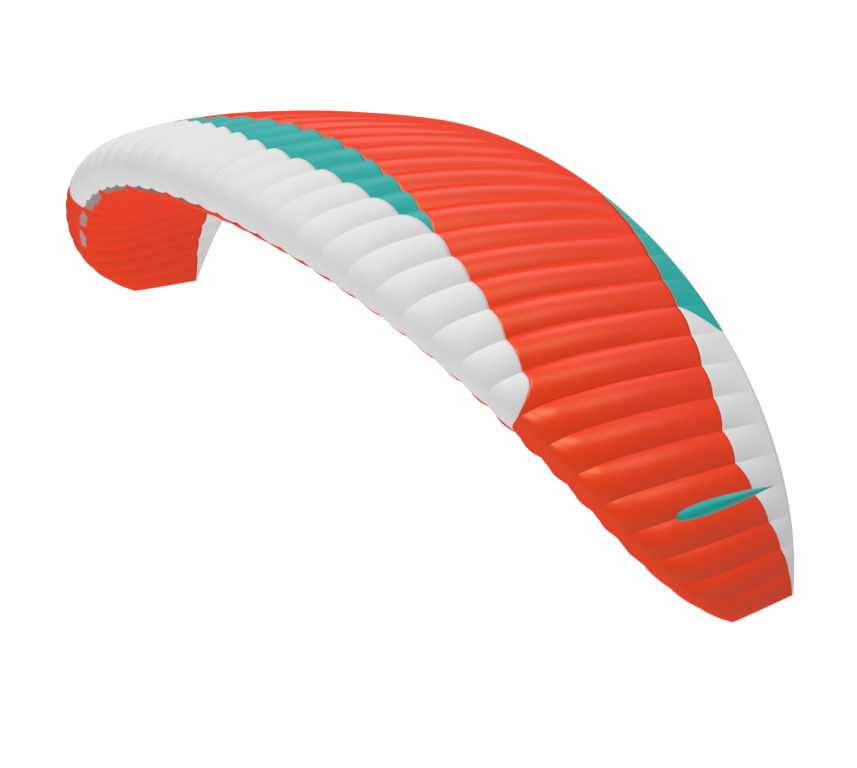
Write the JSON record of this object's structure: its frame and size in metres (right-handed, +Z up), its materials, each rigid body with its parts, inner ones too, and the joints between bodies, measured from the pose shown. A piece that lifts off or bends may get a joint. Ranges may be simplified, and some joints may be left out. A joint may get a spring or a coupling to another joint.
{
  "type": "paraglider wing",
  "caption": "Inflated paraglider wing: an arched double-skin canopy of cloth air cells between profile ribs, with air intakes under its nose and a winglet near each tip.",
  "frame": {"origin": "on the lower skin's outer face at the middle rib, 30 percent of the chord behind the nose, where the lines together would pull", "axes": "+X along the span towards the port tip, -Y the way the wing flies, +Z up away from the lines"},
  "size_m": [9.0104, 3.0018, 2.8268],
  "materials": {
    "red_cloth": "coated ripstop nylon, satin, orange red",
    "white_cloth": "coated ripstop nylon, satin, white",
    "teal_cloth": "coated ripstop nylon, satin, blue green",
    "rib_cloth": "firmly coated nylon, matt, off-white"
  },
  "bodies": {
    "root": {"band_panel": "teal_cloth", "main_lower_port": "red_cloth", "main_lower_starboard": "red_cloth", "main_upper": "red_cloth", "nose_panel_port": "white_cloth", "nose_panel_starboard": "white_cloth", "rib_01": "rib_cloth", "rib_02": "rib_cloth", "rib_03": "rib_cloth", "rib_04": "rib_cloth", "rib_05": "rib_cloth", "rib_06": "rib_cloth", "rib_07": "rib_cloth", "rib_08": "rib_cloth", "rib_09": "rib_cloth", "rib_10": "rib_cloth", "rib_11": "rib_cloth", "rib_12": "rib_cloth", "rib_13": "rib_cloth", "rib_14": "rib_cloth", "rib_15": "rib_cloth", "rib_16": "rib_cloth", "rib_17": "rib_cloth", "rib_18": "rib_cloth", "rib_19": "rib_cloth", "rib_20": "rib_cloth", "rib_21": "rib_cloth", "rib_22": "rib_cloth", "rib_23": "rib_cloth", "rib_24": "rib_cloth", "rib_25": "rib_cloth", "rib_26": "rib_cloth", "rib_27": "rib_cloth", "rib_28": "rib_cloth", "rib_29": "rib_cloth", "rib_30": "rib_cloth", "rib_31": "rib_cloth", "rib_32": "rib_cloth", "rib_33": "rib_cloth", "rib_34": "rib_cloth", "rib_35": "rib_cloth", "rib_36": "rib_cloth", "rib_37": "rib_cloth", "rib_38": "rib_cloth", "rib_39": "rib_cloth", "tail_lower_port": "white_cloth", "tail_lower_starboard": "white_cloth", "tail_teal_port": "teal_cloth", "tail_teal_starboard": "teal_cloth", "tail_white_port": "white_cloth", "tail_white_starboard": "white_cloth", "tip_lower_port": "red_cloth", "tip_lower_starboard": "red_cloth", "tip_upper_port": "red_cloth", "tip_upper_starboard": "red_cloth", "winglet_port": "teal_cloth", "winglet_starboard": "teal_cloth"}
  },
  "joints": []
}
